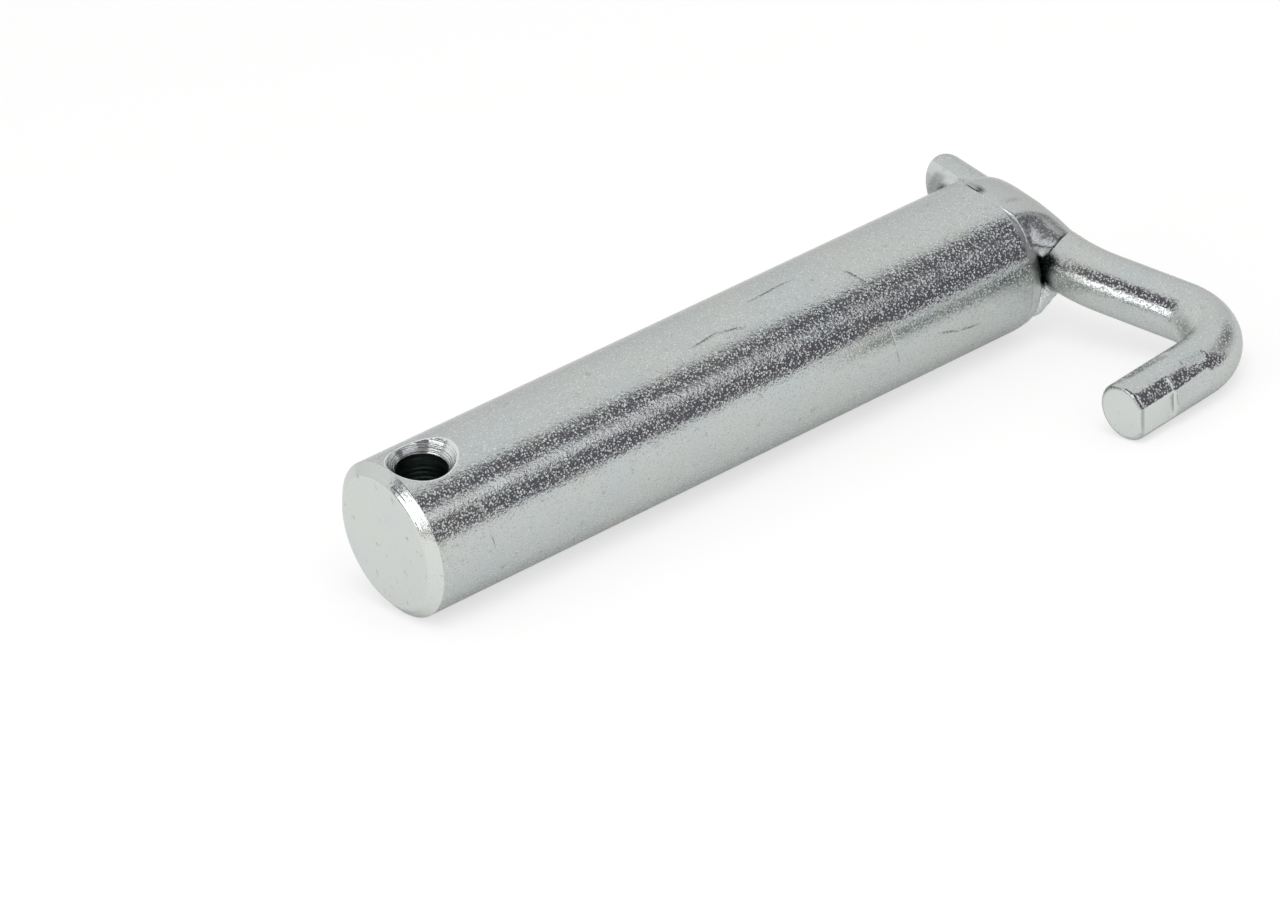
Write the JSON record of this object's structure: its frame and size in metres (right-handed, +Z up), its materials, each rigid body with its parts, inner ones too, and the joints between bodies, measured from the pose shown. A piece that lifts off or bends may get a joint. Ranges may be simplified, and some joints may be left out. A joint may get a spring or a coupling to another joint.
{
  "type": "locking pin",
  "caption": "Round steel pin with a chamfered free end, a countersunk cross hole near it, and a bent rod handle welded across the head end.",
  "frame": {"origin": "where the axis of the cross hole meets the axis of the pin", "axes": "+X along the pin to its free end, +Z up with the pin lying at rest, +Y to the side of the handle's hook"},
  "size_m": [0.0852, 0.0438, 0.0165],
  "materials": {
    "zinc_plated_bar": "turned steel bar, zinc plated, satin",
    "zinc_plated_rod": "drawn steel rod, zinc plated, satin",
    "zinc_plated_weld": "smooth steel weld, zinc plated over"
  },
  "bodies": {
    "root": {"shank": "zinc_plated_bar", "handle_rod": "zinc_plated_rod", "upper_weld": "zinc_plated_weld", "lower_weld": "zinc_plated_weld"}
  },
  "joints": []
}
